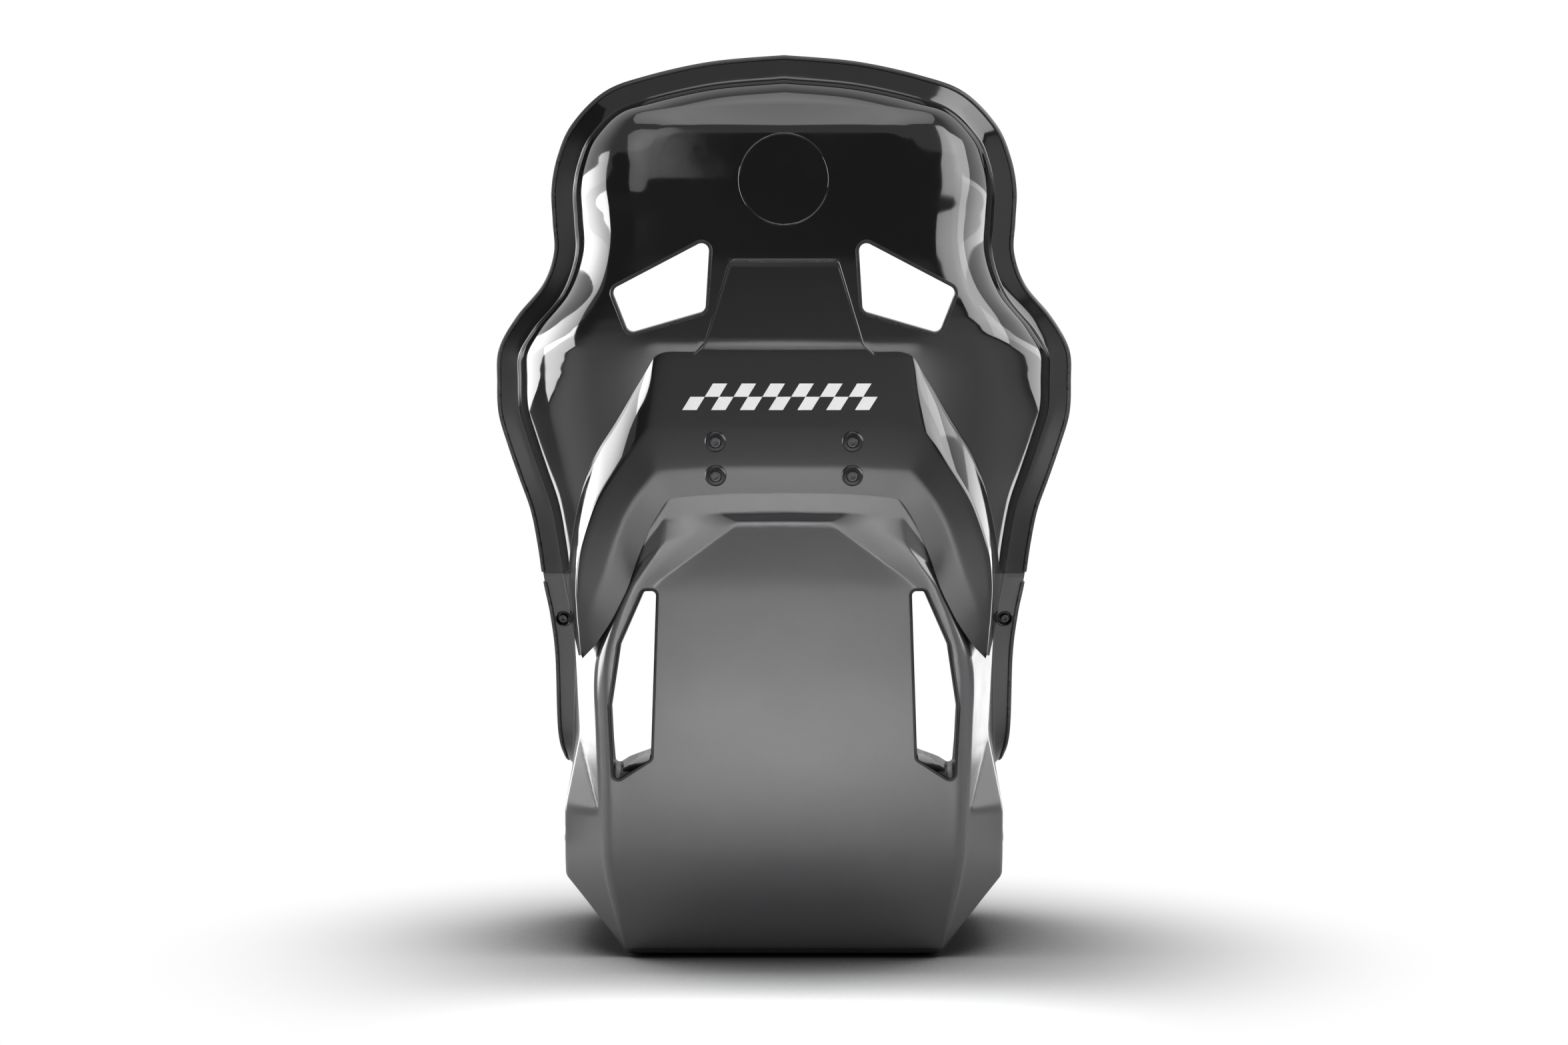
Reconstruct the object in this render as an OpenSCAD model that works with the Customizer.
// Fixed-back racing seat: two moulded shells, their joint, belt openings, mounts and pads.
// X is across the seat, -Y is forwards, +Z is up. The origin is on the floor under the middle.

/* [Overall] */
// Height from the floor to the top edge
seat_height = 897; // [820:1:980]
// Width across the shoulder wings
shoulder_width = 582; // [520:1:640]
// Depth from the front lip to the back panel
seat_depth = 606; // [560:1:650]

/* [Shells] */
// Thickness of the moulded shells
wall = 4; // [3:0.5:5]
// Width of the edge flange
flange_w = 22; // [20:1:26]
// Gap between the two shells where they overlap
joint_gap = 0.6; // [0.4:0.1:1]
// Depth of the sunk trapezoid in the back panel
emboss_depth = 1.2; // [0.6:0.1:1.8]
// Radius of the round badge place
badge_r = 43; // [30:1:48]

/* [Belt openings] */
// Corner radius of the shoulder openings
shoulder_hole_r = 9; // [5:1:14]
// Thickness of the rubber bezel in each belt opening
bezel_t = 2; // [1.5:0.25:3]
// How far a bezel stands proud of the shell
bezel_lip = 1.5; // [1:0.25:2.5]
// Depth of the lap slot tunnels
tunnel_depth = 34; // [20:1:38]
// Wall of the lap slot tunnels
tunnel_t = 2.5; // [2:0.25:3]
// Length of the crotch strap slot across the seat
crotch_slot_w = 90; // [60:1:110]
// Width of the crotch strap slot from front to back
crotch_slot_l = 26; // [20:1:36]

/* [Joint bolts] */
// Distance between the two columns of rear bolts
rear_bolt_span = 134; // [110:1:150]
// Distance between the two rows of rear bolts
rear_bolt_pitch = 33; // [28:1:38]
// Diameter of the joint bolts
joint_bolt_d = 6; // [5:0.5:8]
// Outer diameter of the cup washers
cup_washer_d = 21; // [18:0.5:24]
// Thickness of the cup washers
cup_washer_t = 2.6; // [2:0.1:3.5]
// Thickness of the steel backing plate and joint straps
plate_t = 3; // [2:0.5:4]
// Outer diameter of the cups round the side bolts
side_cup_d = 17; // [15:0.5:18]

/* [Side mounts] */
// Distance between the two mount threads on each side
mount_pitch = 290; // [250:1:300]
// Height of the mount threads above the floor
mount_height = 120; // [110:1:135]
// Bore of the mount threads, for an M8 screw
mount_bore = 8; // [6:0.5:10]
// Outer diameter of the mount inserts
insert_d = 16; // [14:0.5:20]
// Thickness of the side mount plates
mount_plate_t = 4; // [3:0.5:5]

/* [Trim] */
// Wall of the rubber edge trim
trim_t = 1.6; // [1.2:0.1:2.2]
// How far the edge trim reaches over the flange
trim_reach = 2.6; // [2:0.2:4]
// Running clearance round every fitted piece
fit = 0.3; // [0.2:0.05:0.5]

/* [Pads] */
// Space between a shell and its pads, for the hook-and-loop tape
pad_gap = 2; // [1.8:0.1:3]
// Thickness of the hook-and-loop tape
tape_t = 1.4; // [1:0.1:1.5]
// Thickness of the seat cushion
cushion_t = 46; // [34:1:60]
// Thickness of the back pads
back_pad_t = 26; // [18:1:34]
// Thickness of the side bolsters
bolster_t = 30; // [20:1:38]
// Gap between neighbouring pads
pad_seam = 3; // [2:0.5:6]

/* [Hidden] */

// The design stations below are for this size, and follow the driving sizes from it.
design_size = [582, 606, 897];
grow = [
  shoulder_width / design_size[0],
  seat_depth / design_size[1],
  seat_height / design_size[2]
];
function sized(p) = [p[0] * grow[0], p[1] * grow[1], p[2] * grow[2]];

// ---------- small helpers ----------
function mix(a, b, t) = a + (b - a) * t;
function clamp(v, lo, hi) = min(max(v, lo), hi);
function unit(v) = v / max(norm(v), 0.000001);
function mirror_x(p) = [-p[0], p[1], p[2]];
function flip(list) = [for (i = [len(list) - 1:-1:0]) list[i]];

// Smooth curve through a list of values or points, t from 0 to len - 1
function curve(list, t) =
  let (n = len(list) - 1, i = clamp(floor(t), 0, n - 1), f = clamp(t, 0, n) - i)
  let (a = list[max(i - 1, 0)], b = list[i], c = list[i + 1], d = list[min(i + 2, n)])
  0.5 * (2 * b + (c - a) * f + (2 * a - 5 * b + 4 * c - d) * f * f + (3 * b - a - 3 * c + d) * f * f * f);

// Straight segments through the same kind of list
function polyline(list, t) =
  let (n = len(list) - 1, i = clamp(floor(t), 0, n - 1))
  mix(list[i], list[i + 1], clamp(t, 0, n) - i);

// Value at height z from pairs [z, value] in rising z
function at_height(pairs, z) = lookup(z, pairs);

// ---------- back shell stations ----------
// Outer edge from the flange parting up round the head to the top middle
BACK_EDGE = [
  [255, 0, 393], [258, 23, 427], [263, 46, 461], [273, 66, 494], [283, 82, 527],
  [291, 97, 559], [291, 112, 591], [288, 125, 623], [269, 139, 654], [241, 157, 685],
  [228, 175, 716], [228, 190, 746], [228, 205, 776], [221, 220, 806], [206, 235, 835],
  [174, 250, 864], [133, 259, 878], [70, 264, 891], [0, 265, 897]
];
// Share of each section that is flat panel
BACK_FLAT = [
  0.59, 0.58, 0.57, 0.55, 0.53, 0.515, 0.515, 0.515, 0.54, 0.60,
  0.63, 0.63, 0.645, 0.66, 0.70, 0.75, 0.70, 0.64, 0.61
];
// Rear face of the panel on the centre line, as height and depth
PANEL_LINE = [
  [380, 90], [410, 118], [460, 157], [495, 181], [549, 216], [584, 239], [618, 264.5],
  [700, 284], [780, 298], [822, 302.5], [840, 302.5], [856, 297], [870, 284]
];
HEAD_CENTRE_Z = 740;
FAN_STATION = 12;
LAST_STATION = len(BACK_EDGE) - 1;
// Columns of a section: flat panel, wall, flange
FLAT_COLS = 3;
WALL_COLS = 7;
FLANGE_COLS = 1;
BACK_COLS = FLAT_COLS + WALL_COLS + FLANGE_COLS;

function panel_depth(z) = at_height(PANEL_LINE, z);
function back_edge(s) = curve(BACK_EDGE, s);
function back_centre(s) = [0, 0, min(back_edge(s)[2], HEAD_CENTRE_Z)];
// Direction in the frontal plane from the edge into the seat back
function edge_inward(s) =
  let (a = back_edge(s - 0.5), b = back_edge(s + 0.5))
  let (raw = s > LAST_STATION - 0.25 ? [0, 0, -1] : s < 0.25 ? [-1, 0, 0] : [a[2] - b[2], 0, b[0] - a[0]])
  unit(raw);
function back_root(s) = back_edge(s) + edge_inward(s) * flange_w / grow[0] + [0, 3, 0];
function back_flat_end(s) =
  let (c = back_centre(s), e = back_edge(s), share = curve(BACK_FLAT, s))
  let (p = mix(c, [e[0], 0, e[2]], share))
  [p[0], panel_depth(p[2]), p[2]];
function bend(a, q, b, t) = mix(mix(a, q, t), mix(q, b, t), t);
// Outer surface of the back shell: s runs along the edge stations, u over the columns
function back_unscaled(s, u) =
  let (flat = back_flat_end(s), root = back_root(s), edge = back_edge(s), c = back_centre(s))
  u <= FLAT_COLS
    ? let (p = mix(c, flat, u / FLAT_COLS)) [p[0], panel_depth(p[2]), p[2]]
    : u <= FLAT_COLS + WALL_COLS
    ? let (q = [mix(flat[0], root[0], 0.84), mix(flat[1], root[1], 0.12), mix(flat[2], root[2], 0.8)])
      bend(flat, q, root, (u - FLAT_COLS) / WALL_COLS)
    : mix(root, edge, (u - FLAT_COLS - WALL_COLS) / FLANGE_COLS);
function back_point(s, u) = sized(back_unscaled(s, u));

// ---------- seat shell stations ----------
// Rows from the tongue under the yoke, down the back, round the heel and out to the front lip
SEAT_SPINE = [
  [0, 232.5, 545], [0, 212.5, 476], [0, 203, 457], [0, 190, 447], [0, 178, 385], [0, 169, 345],
  [0, 160, 300], [0, 146, 225], [0, 131, 150], [0, 119, 96], [0, 92, 12], [0, 76, 0],
  [0, -60, 0], [0, -225, 0], [0, -282, 22], [0, -300, 105]
];
// Edge of the main panel
SEAT_PANEL = [
  [60, 232.5, 545], [62, 212, 475], [62, 203, 456], [45, 190, 447], [130, 178, 385], [148, 169, 345],
  [162, 160, 300], [166, 146, 225], [166, 131, 150], [163, 119, 96], [157, 92, 12], [150, 76, 0],
  [150, -60, 0], [145, -225, 0], [120, -281, 22], [90, -300, 105]
];
// Inner line of the rear corner
SEAT_CORNER_IN = [
  [100, 232.5, 545], [112, 212, 471], [118, 202, 452], [121, 197, 425], [149, 185, 384],
  [166, 175, 344], [179, 164, 300], [177, 147, 225], [176.5, 132, 150], [176, 120, 96],
  [164, 92, 12], [157, 76, 0], [157, -60, 0], [152, -225, 0], [145, -280, 22], [150, -300, 108]
];
// Outer line of the rear corner, where the side begins
SEAT_CORNER_OUT = [
  [150, 192, 445], [152, 180, 412], [155, 178, 403], [156, 176, 395], [159, 177, 382],
  [177, 166, 343], [193, 150, 302], [190, 133, 225], [188, 119, 150], [187, 107, 96],
  [167, 84, 14], [163, 72, 2], [163, -60, 0], [163, -222, 0], [168, -275, 28], [190, -300, 120]
];
// Vertical edge of the side
SEAT_SIDE = [
  [215, 95, 393], [215.5, 92, 391.5], [216, 90, 390], [216, 88, 388], [216, 86, 378],
  [217, 76, 345], [216, 60, 300], [213, 45, 225], [229, 42, 150], [229, 40, 96],
  [229, 32, 78], [229, 22, 78], [229, -70, 78], [229, -215, 78], [229, -278, 88], [221, -298, 145]
];
// Outer edge of the seat shell, from the flange parting to the front lip
SEAT_EDGE = [
  [255, 0, 393], [254.8, -1, 391], [254.5, -2, 389], [254, -3, 386], [252, -6, 375], [247, -13, 348],
  [243, -29, 305], [242, -52, 225], [238, -88, 194], [236, -128, 188], [236, -172, 190],
  [236, -190, 192], [236, -222, 195], [236, -262, 195], [235, -280, 190], [230, -295, 178]
];
// Width of the flange along the same rows
SEAT_FLANGE = [22, 22, 22, 22, 22, 22, 21, 17, 9, 7, 7, 7, 7, 7, 7, 7];
SEAT_LAST = len(SEAT_SPINE) - 1;
SEAT_COLS = 12;

function seat_root(s) =
  let (e = curve(SEAT_EDGE, s), f = curve(SEAT_FLANGE, s) / SEAT_FLANGE[0] * flange_w)
  let (low = clamp(s - 7, 0, 1))
  [e[0] - f, e[1] + 3 * (1 - low), e[2] - 8 * low];
// Outer surface of the seat shell: s along the spine rows, u over the columns
function seat_unscaled(s, u) =
  let (spine = polyline(SEAT_SPINE, s), panel = polyline(SEAT_PANEL, s))
  let (inner = polyline(SEAT_CORNER_IN, s), outer = polyline(SEAT_CORNER_OUT, s))
  let (side = curve(SEAT_SIDE, s), root = seat_root(s), edge = curve(SEAT_EDGE, s))
  u <= 2 ? mix(spine, panel, u / 2)
  : u <= 3 ? mix(panel, inner, u - 2)
  : u <= 5 ? bend(inner, mix(inner, outer, 0.62) + [0, 3, 0], outer, (u - 3) / 2)
  : u <= 8 ? mix(outer, side, (u - 5) / 3)
  : u <= 11 ? mix(side, root, (u - 8) / 3)
  : mix(root, edge, u - 11);
function seat_point(s, u) = sized(seat_unscaled(s, u));

// ---------- surfaces and solids ----------
STEP = 0.04;
function back_normal(s, u) =
  let (ss = clamp(s, STEP, LAST_STATION - STEP), uu = clamp(u, 3 * STEP, BACK_COLS - STEP))
  let (along = back_point(ss + STEP, uu) - back_point(ss - STEP, uu))
  let (across = back_point(ss, uu + STEP) - back_point(ss, uu - STEP))
  unit(cross(along, across));
function seat_normal(s, u) =
  let (ss = clamp(s, STEP, SEAT_LAST - STEP), uu = clamp(u, STEP, SEAT_COLS - STEP))
  let (along = seat_point(ss + STEP, uu) - seat_point(ss - STEP, uu))
  let (across = seat_point(ss, uu + STEP) - seat_point(ss, uu - STEP))
  unit(cross(across, along));
// A point of the shell moved into the seat by depth
function back_in(s, u, depth) = back_point(s, u) - back_normal(s, u) * depth;
function seat_in(s, u, depth) = seat_point(s, u) - seat_normal(s, u) * depth;

// Closed solid between two grids of points with the same rows and columns
module slab(outer, inner) {
  rows = len(outer);
  cols = len(outer[0]);
  count = rows * cols;
  points = concat([for (row = outer) each row], [for (row = inner) each row]);
  faces = [
    for (j = [0:rows - 2], i = [0:cols - 2])
      let (a = j * cols + i, b = a + 1, c = a + cols + 1, d = a + cols)
      each [[a, b, c], [a, c, d], [count + a, count + c, count + b], [count + a, count + d, count + c]],
    for (i = [0:cols - 2])
      let (a = i, b = (rows - 1) * cols + i)
      each [
        [a, count + a, count + a + 1], [a, count + a + 1, a + 1],
        [b, b + 1, count + b + 1], [b, count + b + 1, count + b]
      ],
    for (j = [0:rows - 2])
      let (a = j * cols, b = j * cols + cols - 1)
      each [
        [a, a + cols, count + a + cols], [a, count + a + cols, count + a],
        [b, count + b, count + b + cols], [b, count + b + cols, b + cols]
      ]
  ];
  polyhedron(points, faces);
}

// Both halves of a row of points, left edge to right edge, sharing the middle point
function both_halves(row) = concat([for (i = [len(row) - 1:-1:1]) mirror_x(row[i])], row);

// Closed solid of the whole back shell, whose upper rows fan out from the head centre
module back_skin(out, depth) {
  stations = [for (s = [0:LAST_STATION]) s];
  rows = len(stations);
  fan = FAN_STATION - 1;
  cols = 2 * BACK_COLS + 1;
  count = rows * cols;
  outer = [for (s = stations) each both_halves([for (u = [0:BACK_COLS]) back_in(s, u, -out)])];
  inner = [for (s = stations) each both_halves([for (u = [0:BACK_COLS]) back_in(s, u, depth)])];
  // The fan rows share the head centre, and the last row's left half is its right half
  function shared(j, i) =
    i == BACK_COLS && j > fan ? fan * cols + BACK_COLS
    : j == rows - 1 && i < BACK_COLS ? j * cols + 2 * BACK_COLS - i
    : j * cols + i;
  quads = [
    for (j = [0:rows - 2], i = [0:cols - 2])
      let (a = shared(j, i), b = shared(j, i + 1), c = shared(j + 1, i + 1), d = shared(j + 1, i))
      each i < BACK_COLS ? [[a, b, d], [b, c, d]] : [[a, b, c], [a, c, d]]
  ];
  skin = [for (f = quads) if (f[0] != f[1] && f[1] != f[2] && f[2] != f[0]) f];
  rim = [
    for (j = [0:rows - 2])
      let (a = shared(j, 0), d = shared(j + 1, 0), b = shared(j, cols - 1), c = shared(j + 1, cols - 1))
      each [
        [a, d, count + d], [a, count + d, count + a],
        [b, count + b, count + c], [b, count + c, c]
      ]
  ];
  foot = [
    for (i = [0:cols - 2])
      each [[i, count + i, count + i + 1], [i, count + i + 1, i + 1]]
  ];
  polyhedron(
    concat(outer, inner),
    concat(skin, [for (f = skin) [count + f[0], count + f[2], count + f[1]]], rim, foot)
  );
}

// Rows of the seat shell grid, closer together where the shape turns
SEAT_ROWS = [
  0, 0.5, 1, 2, 3, 3.34, 3.67, 4, 4.5, 5, 5.5, 6, 6.5, 7, 7.5, 8, 8.5, 9, 9.33, 9.67, 10,
  11, 12, 13, 13.5, 14, 14.5, 15
];
module seat_skin(out, depth) {
  slab(
    [for (s = flip(SEAT_ROWS)) both_halves([for (u = [0:SEAT_COLS]) seat_in(s, u, -out)])],
    [for (s = flip(SEAT_ROWS)) both_halves([for (u = [0:SEAT_COLS]) seat_in(s, u, depth)])]
  );
}

// One closed body with its facets joined, so that later cuts in it stay true
module moulded() { resize([0, 0, 0]) union() children(); }

// Prism along Y from an outline in X and Z
module frontal_prism(outline, front, rear) {
  translate([0, rear, 0]) rotate([90, 0, 0]) linear_extrude(rear - front) polygon(outline);
}
module frontal_extrude(front, rear) {
  translate([0, rear, 0]) rotate([90, 0, 0]) linear_extrude(rear - front) children();
}
// Children on the right side, and mirrored on the left
module on_both_sides() {
  children();
  mirror([1, 0, 0]) children();
}
function sized_2d(list) = [for (p = list) [p[0] * grow[0], p[1] * grow[2]]];
function both_outline(half) = concat(half, [for (p = flip(half)) [-p[0], p[1]]]);
module rounded(r) { offset(r) offset(-r) children(); }

// ---------- yoke: the raised horseshoe that laps over the seat shell ----------
// Lower edge of the yoke, from the middle to the tip of its arm
YOKE_SEAM = [
  [0, 216, 476], [60, 216, 475.5], [112, 215, 471], [118, 213, 465], [131, 203, 445], [146, 191, 410],
  [154, 187, 385], [163, 182, 366], [175, 174, 344], [190, 163, 323], [203, 150, 310]
];
// Ridge between the lower bevel and the rear face
YOKE_RIDGE_IN = [
  [0, 228, 499], [60, 228, 499], [122, 227, 496], [128, 226, 493], [145, 221, 471], [159, 214, 447],
  [171, 204, 414], [177, 198, 394], [190, 186, 363], [200, 172, 340], [203.5, 154, 313]
];
// Ridge between the rear face and the side bevel
YOKE_RIDGE_OUT = [
  [0, 240, 540], [60, 240, 540], [128, 240, 540], [144, 234, 526], [162, 229, 503], [184, 219, 471],
  [195, 211, 443], [204, 202, 415], [207, 190, 380], [206, 176, 350], [204, 155, 314]
];
// Foot of the side bevel on the back shell
YOKE_FOOT = [
  [0, 262.5, 622], [60, 262.5, 622], [122, 262, 618], [142, 237, 584], [164, 214, 549], [187, 190, 517],
  [203, 164, 483], [214, 134, 440], [222, 92, 398], [222, 66, 350], [208, 132, 312]
];
// The back shell is open inside this outline, where the yoke and the seat shell close it
YOKE_OPENING = [
  [0, 380], [216, 380], [216, 398], [208, 438], [197, 480],
  [181, 513], [158, 545], [136, 580], [114, 603], [0, 603]
];
YOKE_T = 9;
YOKE_SIDE_T = 4.5;
YOKE_ARM = 3;
YOKE_LAST = len(YOKE_SEAM) - 1;

function yoke_rows(k, inside) =
  let (side = inside ? (k > YOKE_ARM - 0.5 ? YOKE_SIDE_T : 0) : 0, t = inside ? YOKE_T : 0)
  [
    sized(curve(YOKE_SEAM, k) - [0, inside ? 3 : 0, 0]),
    sized(curve(YOKE_RIDGE_IN, k) - [0, t, 0]),
    sized(polyline(YOKE_RIDGE_OUT, k) - [side, t, 0]),
    sized(polyline(YOKE_FOOT, k) - [side, inside ? 3 : 0, 0])
  ];
module yoke_half() {
  columns = [for (k = [YOKE_LAST:-0.5:0]) k];
  slab([for (k = columns) yoke_rows(k, false)], [for (k = columns) yoke_rows(k, true)]);
}

// ---------- joint face and its bolts ----------
FACE_FOOT = sized([0, 228, 499]);
FACE_HEAD = sized([0, 240, 540]);
face_lean = atan2(FACE_HEAD[1] - FACE_FOOT[1], FACE_HEAD[2] - FACE_FOOT[2]);
function face_depth(z) = FACE_FOOT[1] + (z - FACE_FOOT[2]) * tan(face_lean);
// The tongue of the seat shell lies this far under the yoke face
tongue_drop = (face_depth(SEAT_SPINE[1][2] * grow[2]) - SEAT_SPINE[1][1] * grow[1]) * cos(face_lean);
BOLT_RISE = 17;
rear_bolt_low = YOKE_SEAM[0][2] * grow[2] + BOLT_RISE;
plate_top = -(tongue_drop + wall + fit);
nut_h = 5;
// Length of a screw past its nut, with its clearances
BOLT_END = 4;
bore = joint_bolt_d + 2 * fit;

// Children at each rear bolt, with +Z out of the yoke face
module at_rear_bolts() {
  for (x = [-1, 1], row = [0, 1]) {
    z = rear_bolt_low + row * rear_bolt_pitch;
    translate([x * rear_bolt_span / 2, face_depth(z), z]) rotate([-(90 + face_lean), 0, 0]) children();
  }
}
module hex_socket(across, depth) {
  translate([0, 0, -depth]) cylinder(d = across * 1.1547, h = depth + 1, $fn = 6);
}
module socket_bolt(head_d, head_h, shank) {
  difference() {
    union() {
      cylinder(d = head_d, h = head_h - 0.8, $fn = 32);
      translate([0, 0, head_h - 0.8]) cylinder(d1 = head_d, d2 = head_d - 1.6, h = 0.8, $fn = 32);
      translate([0, 0, -shank]) cylinder(d = joint_bolt_d, h = shank, $fn = 32);
    }
    translate([0, 0, head_h]) hex_socket(head_d * 0.45, head_h * 0.55);
  }
}
module nut() {
  difference() {
    cylinder(d = joint_bolt_d * 1.9, h = nut_h, $fn = 6);
    translate([0, 0, -1]) cylinder(d = joint_bolt_d + fit, h = nut_h + 2, $fn = 32);
  }
}

// ---------- openings ----------
SHOULDER_HOLE = [[69, 723], [74, 649], [151, 627], [168.5, 672]];
LAP_SLOT = [[125, 381], [132, 207], [174, 180], [177, 262], [167, 325], [142, 381]];
LAP_SLOT_R = 7;
module shoulder_outline(grown) {
  offset(grown) rounded(shoulder_hole_r) polygon(sized_2d(SHOULDER_HOLE));
}
module lap_outline(grown) { offset(grown) rounded(LAP_SLOT_R) polygon(sized_2d(LAP_SLOT)); }
CROTCH_SLOT_Y = -70;
module crotch_outline(grown) {
  translate([0, CROTCH_SLOT_Y * grow[1]]) offset(grown + crotch_slot_l / 4)
    square([crotch_slot_w - crotch_slot_l / 2, crotch_slot_l / 2], center = true);
}

// ---------- shells ----------
EMBOSS = both_outline([[92, 602], [75, 620], [50, 698]]);
BADGE_Z = 775;
module emboss_cuts() {
  intersection() {
    frontal_prism(sized_2d(EMBOSS), 200, 330);
    back_skin(2, emboss_depth);
  }
  intersection() {
    translate([0, 0, BADGE_Z * grow[2]]) frontal_extrude(200, 330) difference() {
      circle(badge_r, $fn = 48);
      circle(badge_r - 1.5, $fn = 48);
    }
    back_skin(2, emboss_depth * 0.6);
  }
}
module back_moulding() {
  moulded() difference() {
    union() {
      difference() {
        back_skin(0, wall);
        frontal_prism(sized_2d(both_outline(YOKE_OPENING)), -60, 400);
      }
      difference() {
        on_both_sides() yoke_half();
        back_skin(-wall, 60);
      }
      intersection() {
        at_rear_bolts() translate([0, 0, -6]) cylinder(d = cup_washer_d + 3, h = 6, $fn = 32);
        translate([-200, 0, 400]) cube([400, 400, 200]);
      }
    }
    seat_skin(joint_gap, 15);
    on_both_sides() frontal_extrude(100, 400) shoulder_outline(0);
    emboss_cuts();
  }
}
module back_shell() {
  color("#1c1c1e") difference() {
    back_moulding();
    at_rear_bolts() translate([0, 0, -40]) cylinder(d = bore, h = 60, $fn = 32);
  }
}
module seat_shell() {
  color("#4a4a4c") difference() {
    moulded() difference() {
      seat_skin(0, wall);
      on_both_sides() frontal_extrude(20, 300) lap_outline(0);
      translate([0, 0, -5]) linear_extrude(20) crotch_outline(0);
    }
    at_rear_bolts() translate([0, 0, -40]) cylinder(d = bore, h = 60, $fn = 32);
    at_side_bolts() translate([0, 0, -8]) cylinder(d = side_cup_d + 2 * fit, h = 16, $fn = 32);
    at_side_mounts() translate([0, 0, -15]) cylinder(d = insert_d + 2 * fit, h = 30, $fn = 32);
  }
}

// ---------- bezels and tunnels ----------
module shoulder_bezel() {
  color("#0c0c0d") moulded() {
    intersection() {
      frontal_extrude(150, 350) difference() {
        shoulder_outline(-fit);
        shoulder_outline(-bezel_t);
      }
      back_skin(bezel_lip, wall + bezel_lip);
    }
    intersection() {
      frontal_extrude(150, 350) difference() {
        shoulder_outline(bezel_lip);
        shoulder_outline(-bezel_t);
      }
      back_skin(bezel_lip, -fit);
    }
  }
}
module right_shoulder_bezel() { shoulder_bezel(); }
module left_shoulder_bezel() { mirror([1, 0, 0]) shoulder_bezel(); }

// Prism across the seat between two depths under the lower panel
module under_panel(near, far) {
  line = [for (s = [4:10]) sized(SEAT_SPINE[s])];
  outline = concat(
    [for (p = line) [p[1] - near, p[2]]],
    [for (p = flip(line)) [p[1] - far, p[2]]]
  );
  rotate([90, 0, 90]) linear_extrude(250) polygon(outline);
}
module lap_tunnel() {
  color("#0a0a0b") moulded() intersection() {
    frontal_extrude(20, 300) difference() {
      lap_outline(-fit);
      lap_outline(-tunnel_t);
    }
    union() {
      seat_skin(bezel_lip / 2, 10);
      under_panel(6, tunnel_depth);
    }
  }
}
module right_lap_tunnel() { lap_tunnel(); }
module left_lap_tunnel() { mirror([1, 0, 0]) lap_tunnel(); }
module crotch_slot_bezel() {
  color("#0c0c0d") {
    translate([0, 0, fit]) linear_extrude(wall) difference() {
      crotch_outline(-fit);
      crotch_outline(-bezel_t);
    }
    translate([0, 0, wall + fit]) linear_extrude(bezel_lip) difference() {
      crotch_outline(bezel_lip);
      crotch_outline(-bezel_t);
    }
  }
}

// ---------- rear joint ----------
module rear_joint_bolts() {
  color("#2a2a2c") at_rear_bolts() translate([0, 0, cup_washer_t - 1.2 + fit])
    socket_bolt(joint_bolt_d * 1.7, 2.6, tongue_drop + wall + plate_t + nut_h + BOLT_END);
}
module rear_cup_washers() {
  color("#161617") at_rear_bolts() rotate_extrude($fn = 40) polygon([
    [bore / 2, fit], [cup_washer_d / 2, fit], [cup_washer_d / 2, fit + 0.8],
    [cup_washer_d / 2 - 1.6, fit + cup_washer_t], [joint_bolt_d * 0.85 + fit, fit + cup_washer_t],
    [joint_bolt_d * 0.85 + fit, cup_washer_t - 1.2], [bore / 2, cup_washer_t - 1.2]
  ]);
}
module rear_backing_plate() {
  middle = rear_bolt_low + rear_bolt_pitch / 2;
  color("#3a3a3c") difference() {
    translate([0, face_depth(middle), middle]) rotate([-(90 + face_lean), 0, 0])
      translate([0, 0, plate_top - plate_t]) linear_extrude(plate_t)
      rounded(8) square([rear_bolt_span + 34, rear_bolt_pitch + 30], center = true);
    at_rear_bolts() translate([0, 0, -40]) cylinder(d = bore, h = 60, $fn = 32);
  }
}
module rear_joint_nuts() {
  color("#8a8a8e") at_rear_bolts() translate([0, 0, plate_top - plate_t - fit - nut_h]) nut();
}

// ---------- side joint ----------
SIDE_BOLT_ROW = 5.1;
// Column that leaves room for the cup beside the edge trim
SIDE_BOLT_COL = SEAT_COLS - (trim_reach + 2 * fit + side_cup_d / 2) / flange_w;
side_bolt_point = seat_point(SIDE_BOLT_ROW, SIDE_BOLT_COL);
side_bolt_axis = seat_normal(SIDE_BOLT_ROW, SIDE_BOLT_COL);
module along_axis(point, axis) {
  translate(point) rotate([0, acos(axis[2]), atan2(axis[1], axis[0])]) children();
}
module at_side_bolts() { on_both_sides() along_axis(side_bolt_point, side_bolt_axis) children(); }
strap_top = -(wall + fit + 0.9);
module side_bolt_cups() {
  inner = side_cup_d / 2 - 1.2;
  color("#101011") at_side_bolts() rotate_extrude($fn = 40) polygon([
    [bore / 2, strap_top + fit], [side_cup_d / 2, strap_top + fit], [side_cup_d / 2, 1.2],
    [inner, 1.2], [inner, strap_top + fit + 1.2], [bore / 2, strap_top + fit + 1.2]
  ]);
}
module side_joint_bolts() {
  color("#2a2a2c") at_side_bolts() translate([0, 0, strap_top + 2 * fit + 1.2])
    socket_bolt(joint_bolt_d * 1.5, 4, plate_t + nut_h + 6);
}
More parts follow.
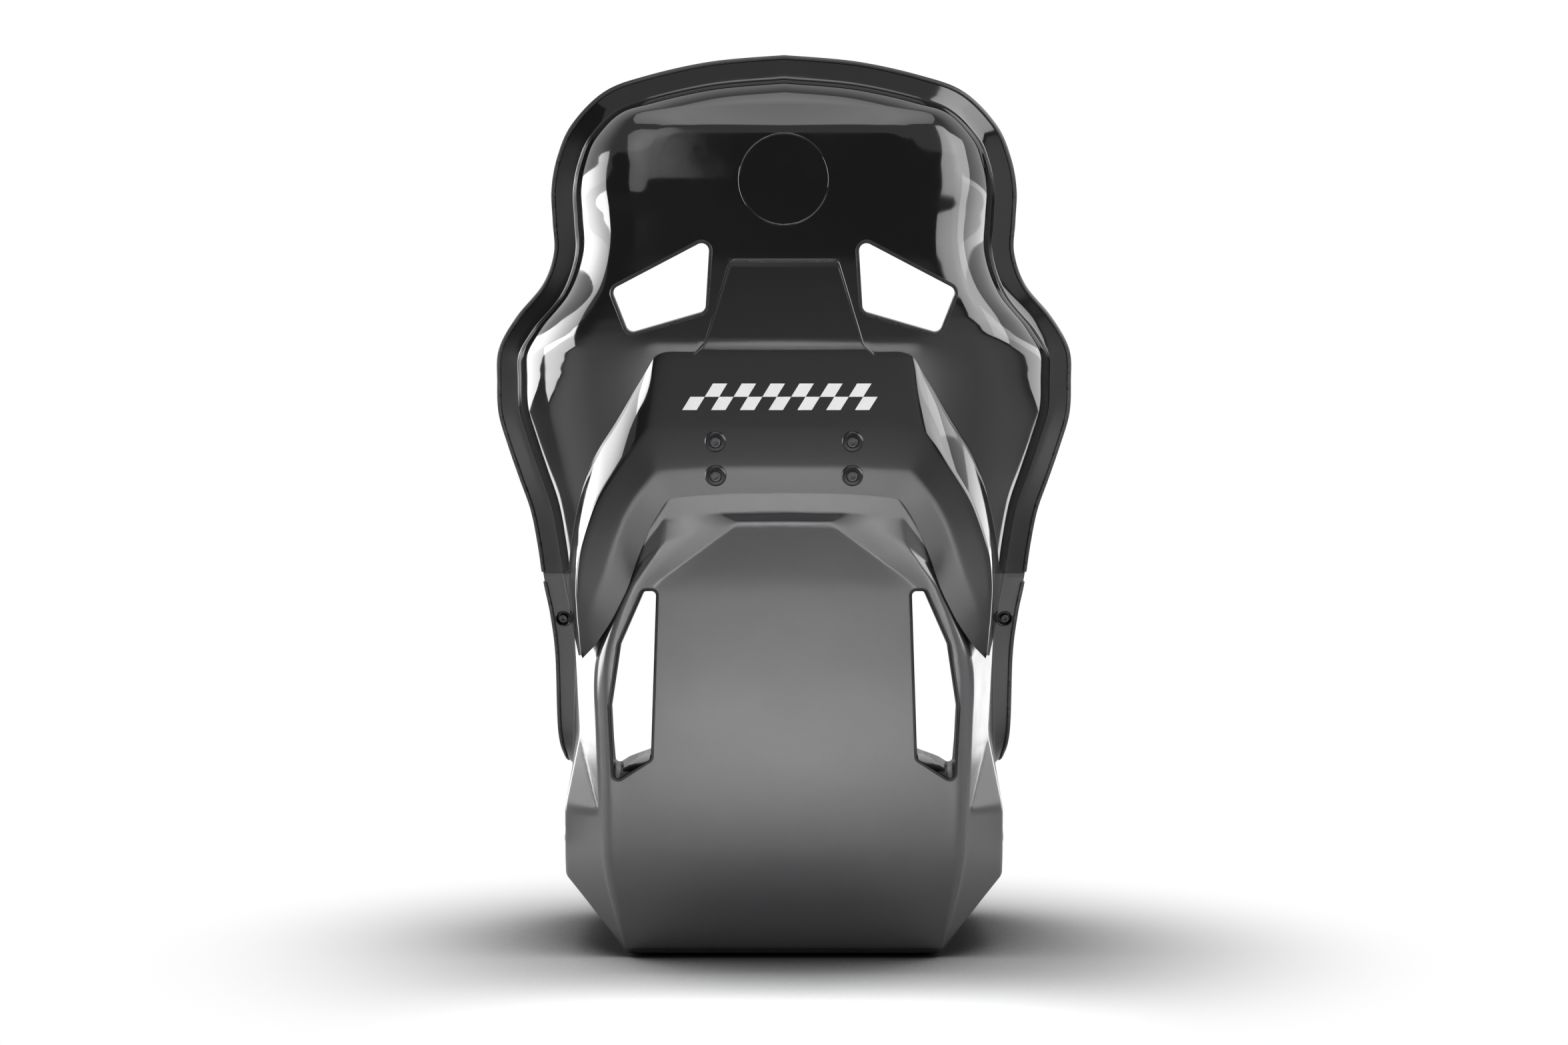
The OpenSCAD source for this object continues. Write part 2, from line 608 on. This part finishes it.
// A steel strap in front of the flanges that bridges their parting
STRAP_SEAT_ROWS = [5.7, 5.4, 5.1, 4.6, 3.5];
STRAP_BACK_ROWS = [0.3, 0.8, 1.3];
STRAP_SHARES = [0.15, 0.5, 0.82];
function strap_grid(depth) = concat(
  [for (s = STRAP_SEAT_ROWS) [for (t = STRAP_SHARES) seat_in(s, SEAT_COLS - 1 + t, depth)]],
  [for (s = STRAP_BACK_ROWS) [for (t = STRAP_SHARES) back_in(s, BACK_COLS - 1 + t, depth)]]
);
module side_joint_straps() {
  color("#3a3a3c") difference() {
    on_both_sides() slab(strap_grid(-strap_top), strap_grid(-strap_top + plate_t));
    at_side_bolts() translate([0, 0, -30]) cylinder(d = bore, h = 40, $fn = 32);
  }
}
module side_joint_nuts() {
  color("#8a8a8e") at_side_bolts() translate([0, 0, strap_top - plate_t - 0.5 - nut_h]) nut();
}

// ---------- side mounts ----------
side_face = SEAT_SIDE[10][0] * grow[0];
MOUNT_MIDDLE_Y = -120;
mount_middle = MOUNT_MIDDLE_Y * grow[1];
// The threads keep their place on the side as the seat gets deeper
mount_span = mount_pitch * grow[1];
// Children at each mount thread, with +Z out of the side
module at_side_mounts() {
  for (side = [-1, 1], end = [-1, 1])
    translate([side * side_face, mount_middle + end * mount_span / 2, mount_height])
      rotate([0, side * 90, 0]) children();
}
// The side wall alone, between two depths
module side_layer(near, far) {
  rows = [for (s = flip(SEAT_ROWS)) if (s >= 7) s];
  slab(
    [for (s = rows) [for (u = [8:11]) seat_in(s, u, near)]],
    [for (s = rows) [for (u = [8:11]) seat_in(s, u, far)]]
  );
}
// The plate follows the inner face of the side, also where the side starts to turn
module mount_plate() {
  color("#3a3a3c") difference() {
    moulded() intersection() {
      translate([side_face - 30, mount_middle, mount_height]) rotate([90, 0, 90]) linear_extrude(40)
        rounded(6) square([mount_span + insert_d + 8, 2 * insert_d], center = true);
      side_layer(wall + fit, wall + fit + mount_plate_t);
    }
    at_side_mounts() translate([0, 0, -20]) cylinder(d = insert_d + 2 * fit, h = 40, $fn = 32);
  }
}
module right_mount_plate() { mount_plate(); }
module left_mount_plate() { mirror([1, 0, 0]) mount_plate(); }
module side_mount_inserts() {
  length = wall + fit + mount_plate_t + 0.8;
  color("#9a9a9e") at_side_mounts() translate([0, 0, 0.8 - length]) difference() {
    cylinder(d = insert_d, h = length, $fn = 48);
    translate([0, 0, -1]) cylinder(d = mount_bore, h = length + 2, $fn = 48);
  }
}

// ---------- edge trim ----------
// Channel section round an edge, in the direction out of the edge and the direction out of the face,
// with the gap g to the shell
function trim_section(g) =
  let (t = trim_t, r = trim_reach, w = wall)
  [[-r, 2 * g], [-r, g + t * 0.8], [g, g + t], [g + t, -w / 2], [g, -w - g - t],
   [-r, -w - g - t * 0.8], [-r, -w - 2 * g], [g, -w - g], [g, g]];
function trim_ring(p, outward, normal, gap = fit) =
  [for (q = trim_section(gap)) p + outward * q[0] + normal * q[1]];
module sweep_rings(rings) {
  n = len(rings[0]);
  last = (len(rings) - 1) * n;
  faces = concat(
    [
      for (j = [0:len(rings) - 2], i = [0:n - 1])
        let (a = j * n + i, b = j * n + (i + 1) % n, c = b + n, d = a + n)
        each [[a, b, c], [a, c, d]]
    ],
    [[for (i = [n - 1:-1:0]) i]],
    [[for (i = [0:n - 1]) last + i]]
  );
  polyhedron([for (ring = rings) each ring], faces);
}
function mirrored_rings(rings) = [for (ring = rings) [for (p = ring) mirror_x(p)]];
// Outward direction square to the normal
function square_to(v, normal) = unit(v - normal * (v * normal));
module back_edge_trim() {
  // The last ring stands in the middle plane
  across = [for (s = [0:LAST_STATION]) s == LAST_STATION ? 0 : 1];
  rings = [
    for (s = [0.1, each [1:LAST_STATION]])
      let (keep = [across[ceil(s)], 1, 1], n0 = back_normal(s, BACK_COLS - 0.2))
      let (v0 = back_point(s, BACK_COLS) - back_point(s, BACK_COLS - 1))
      let (n = unit([n0[0] * keep[0], n0[1], n0[2]]), v = [v0[0] * keep[0], v0[1], v0[2]])
      trim_ring(back_point(s, BACK_COLS), square_to(v, n), n)
  ];
  color("#141415") sweep_rings(concat(rings, flip(mirrored_rings([for (i = [0:len(rings) - 2]) rings[i]]))));
}
// The trim sits looser where the front lip turns
TIGHT_ROW = 13;
corner_fit = 3 * fit;
SEAT_TRIM_ROWS = [for (s = SEAT_ROWS) if (s > 3 && s < SEAT_LAST) s];
module seat_edge_trim() {
  side = [
    for (s = SEAT_TRIM_ROWS)
      let (n = seat_normal(s, SEAT_COLS - 0.2))
      let (v = seat_point(s, SEAT_COLS) - seat_point(s, SEAT_COLS - 1))
      trim_ring(seat_point(s, SEAT_COLS), square_to(v, n), n, s > TIGHT_ROW ? corner_fit : fit)
  ];
  front = [
    for (u = [11.5, 11, 10, 8, 6, 5, 3, 2, 1])
      let (n = seat_normal(SEAT_LAST - 0.1, u), v = seat_point(SEAT_LAST, u) - seat_point(SEAT_LAST - 0.5, u))
      trim_ring(seat_point(SEAT_LAST, u), square_to(v, n), n, corner_fit)
  ];
  lip_normal = unit([0, -1, -0.15]);
  middle = [trim_ring(seat_point(SEAT_LAST, 0), square_to([0, -0.15, 1], lip_normal), lip_normal, corner_fit)];
  half = concat(side, front);
  color("#141415") sweep_rings(flip(concat(half, middle, flip(mirrored_rings(half)))));
}

// ---------- pads ----------
PAD_EDGE = 0.3;
// Thickness share over a pad: crowned in the middle, drawn in at the sides, with sewn channels across it
function crown(a, b, channels) =
  let (rise = pow(max(sin(180 * a) * sin(180 * b), 0), 0.42))
  let (groove = channels > 0 ? 0.1 * pow(abs(cos(180 * channels * b)), 6) * sin(180 * a) * sin(180 * b) : 0)
  PAD_EDGE + (1 - PAD_EDGE) * rise - groove;
// How far the side of a pad is drawn in between its corners
function drawn(a, b, amount) = amount * sin(180 * b) * (1 - 2 * a);
PAD_GRID = 10;
WIDE_GRID = 8;
LONG_GRID = 20;
// Room between a bolster and the curved wall that it lies against
wall_pad_gap = 0.8 * pad_gap;
function steps(n) = [for (i = [0:n]) i / n];

// Pad on the wall of the back shell or the seat shell, over a patch of its grid between two rows.
// cols holds the first and last column at the first row, then those at the last row.
// start holds pairs of column and depth of the pad's own back face.
module wall_pad(on_back, rows, cols, start, thickness, channels) {
  function at(a, b, share) =
    let (s = mix(rows[0], rows[1], b), first = mix(cols[0], cols[2], b), last = mix(cols[1], cols[3], b))
    let (u = mix(first, last, a) + drawn(a, b, 0.12), depth = lookup(u, start) + thickness * share)
    on_back ? back_in(s, u, depth) : seat_in(s, u, depth);
  outer = [for (b = steps(PAD_GRID)) [for (a = steps(PAD_GRID)) at(a, b, 0)]];
  inner = [for (b = steps(PAD_GRID)) [for (a = steps(PAD_GRID)) at(a, b, crown(a, b, channels))]];
  if (on_back) slab(outer, inner);
  else slab(flip(outer), flip(inner));
}
// Shell profile behind the middle pads, as height and depth
PAD_PROFILE = [
  [40, 102], [96, 119], [150, 131], [225, 146], [300, 160], [345, 169], [385, 178], [447, 190],
  [476, 208], [545, 228], [600, 250], [618, 264.5], [700, 284], [780, 298],
  [822, 302.3], [838, 301.5], [850, 300]
];
// The middle pads pass this much further in, where the rear joint is behind them
joint_room = plate_t + nut_h + BOLT_END - 0.5;
JOINT_ROOM = [[447, 0], [480, joint_room], [540, joint_room], [604, 0]];
// Pad across the middle of the seat back: half widths are pairs of height and half width
module middle_pad(low, high, half_widths, thickness, channels) {
  function at(a, b, depth) =
    let (z = mix(low, high, b), half = at_height(half_widths, z) - 3 * sin(180 * b))
    let (slope = unit([0, at_height(PAD_PROFILE, z + 4) - at_height(PAD_PROFILE, z - 4), 8]))
    let (inward = wall + pad_gap + at_height(JOINT_ROOM, z) + depth)
    sized([(2 * a - 1) * half, at_height(PAD_PROFILE, z), z]) + [0, -slope[2], slope[1]] * inward;
  slab(
    [for (b = steps(LONG_GRID)) [for (a = steps(WIDE_GRID)) at(a, b, 0)]],
    [for (b = steps(LONG_GRID)) [for (a = steps(WIDE_GRID)) at(a, b, thickness * crown(a, b, channels))]]
  );
}
PAD_COLOR = "#232325";
HEAD_HALF = [[734, 134], [800, 138], [838, 118]];
UPPER_HALF = [[460, 114], [500, 138], [560, 144], [598, 128], [616, 84], [640, 60], [734, 58]];
LUMBAR_HALF = [[60, 132], [150, 122], [380, 112], [462, 112]];
// Heights of the lowest pad's foot, of the two seams between the middle pads and of the top
LUMBAR_LOW = 60;
UPPER_LOW = 462;
HEAD_LOW = 734;
HEAD_HIGH = 838;
module head_pad() {
  color(PAD_COLOR) middle_pad(HEAD_LOW + pad_seam, HEAD_HIGH, HEAD_HALF, back_pad_t, 0);
}
module upper_back_pad() {
  color(PAD_COLOR) middle_pad(UPPER_LOW + pad_seam / 2, HEAD_LOW - pad_seam, UPPER_HALF, back_pad_t, 5);
}
module lumbar_pad() {
  color(PAD_COLOR) middle_pad(LUMBAR_LOW, UPPER_LOW - pad_seam / 2, LUMBAR_HALF, back_pad_t, 6);
}

wall_start = [[0, wall + wall_pad_gap], [12, wall + wall_pad_gap]];
module head_bolster() {
  color(PAD_COLOR) wall_pad(true, [9.6, 14.4], [5.2, 9.6, 4.8, 9.6], wall_start, bolster_t, 0);
}
module right_head_bolster() { head_bolster(); }
module left_head_bolster() { mirror([1, 0, 0]) head_bolster(); }
module shoulder_bolster() {
  color(PAD_COLOR) wall_pad(true, [0.3, 8.2], [5.4, 9.7, 4.8, 9.7], wall_start, bolster_t, 3);
}
module right_shoulder_bolster() { shoulder_bolster(); }
module left_shoulder_bolster() { mirror([1, 0, 0]) shoulder_bolster(); }
hip_start = [[0, wall + 0.5 * pad_gap], [12, wall + 0.5 * pad_gap]];
module hip_bolster() {
  color(PAD_COLOR) wall_pad(false, [4.1, 7.3], [7.7, 10.8, 7.9, 10.8], hip_start, bolster_t * 0.7, 2);
}
module right_hip_bolster() { hip_bolster(); }
module left_hip_bolster() { mirror([1, 0, 0]) hip_bolster(); }
// The thigh bolster lies on the slope beside the cushion and passes over the mount plate
thigh_start = [[6.6, wall + wall_pad_gap], [8, wall + fit + mount_plate_t + 1.3 * pad_gap]];
module thigh_bolster() {
  color(PAD_COLOR) wall_pad(false, [10.9, 14.2], [5.3, 9.7, 5.6, 9.7], thigh_start, bolster_t, 2);
}
module right_thigh_bolster() { thigh_bolster(); }
module left_thigh_bolster() { mirror([1, 0, 0]) thigh_bolster(); }

// Under side and top of the seat cushion along the seat, as depth and height
CUSHION_UNDER = [[-292, 96], [-284, 54], [-278, 27], [-255, 13], [-230, 3], [-222, 0], [68, 0], [78, 6]];
CUSHION_RISE = [[-292, 0], [-225, 46], [-120, 24], [60, 0]];
CUSHION_HALF = 148;
CUSHION_FRONT = -290;
CUSHION_REAR = 72;
module seat_cushion() {
  under = wall + pad_gap;
  function at(a, b, top) =
    let (y = mix(CUSHION_FRONT, CUSHION_REAR, b), half = CUSHION_HALF - 4 * sin(180 * b))
    let (x = (2 * a - 1) * half, low = lookup(y, CUSHION_UNDER) * grow[2] + under)
    let (up = cushion_t * crown(a, b, 4) + lookup(y, CUSHION_RISE) * sin(180 * a))
    sized([x, y, 0]) + [0, 0, low + (top ? up : 0)];
  color(PAD_COLOR) difference() {
    slab(
      [for (b = steps(LONG_GRID)) [for (a = steps(WIDE_GRID)) at(a, b, false)]],
      [for (b = steps(LONG_GRID)) [for (a = steps(WIDE_GRID)) at(a, b, true)]]
    );
    translate([0, 0, -5]) linear_extrude(200) crotch_outline(2);
  }
}

// ---------- hook-and-loop tapes ----------
TAPE_W = 22;
// Place across the seat, foot and top of each tape on the back shell, behind its pad
UPPER_TAPE = [34, 634, 696];
HEAD_TAPE = [70, 744, 776];
// Tape on the inner face of a shell, between two heights
module back_tape(x, low, high) {
  depth = wall + 2 * fit;
  function at(px, z, d) =
    let (slope = unit([0, panel_depth(z + 4) - panel_depth(z - 4), 8]))
    sized([px, panel_depth(z), z]) + [0, -slope[2], slope[1]] * d;
  slab(
    [for (b = steps(6)) [for (a = [-1, 1]) at(x + a * TAPE_W / 2, mix(low, high, b), depth)]],
    [for (b = steps(6)) [for (a = [-1, 1]) at(x + a * TAPE_W / 2, mix(low, high, b), depth + tape_t)]]
  );
}
module back_pad_tapes() {
  color("#0e0e10") for (x = [-1, 1]) {
    back_tape(x * UPPER_TAPE[0], UPPER_TAPE[1], UPPER_TAPE[2]);
    back_tape(x * HEAD_TAPE[0], HEAD_TAPE[1], HEAD_TAPE[2]);
  }
}
module seat_pad_tapes() {
  function strip(depth) = [
    for (s = [7, 6.5, 6, 5.5, 5, 4.5]) [for (a = [-1, 1]) seat_in(s, 0.9, depth) + [a * TAPE_W / 2, 0, 0]]
  ];
  color("#0e0e10") on_both_sides() {
    translate([80 * grow[0] - TAPE_W / 2, -215 * grow[1], wall + fit]) cube([TAPE_W, 250 * grow[1], tape_t]);
    slab(strip(wall + fit), strip(wall + fit + tape_t));
  }
}

back_shell();
seat_shell();
left_shoulder_bezel();
right_shoulder_bezel();
left_lap_tunnel();
right_lap_tunnel();
crotch_slot_bezel();
rear_joint_bolts();
rear_cup_washers();
rear_backing_plate();
rear_joint_nuts();
side_joint_bolts();
side_bolt_cups();
side_joint_straps();
side_joint_nuts();
left_mount_plate();
right_mount_plate();
side_mount_inserts();
back_edge_trim();
seat_edge_trim();
head_pad();
left_head_bolster();
right_head_bolster();
upper_back_pad();
lumbar_pad();
left_shoulder_bolster();
right_shoulder_bolster();
left_hip_bolster();
right_hip_bolster();
seat_cushion();
left_thigh_bolster();
right_thigh_bolster();
back_pad_tapes();
seat_pad_tapes();
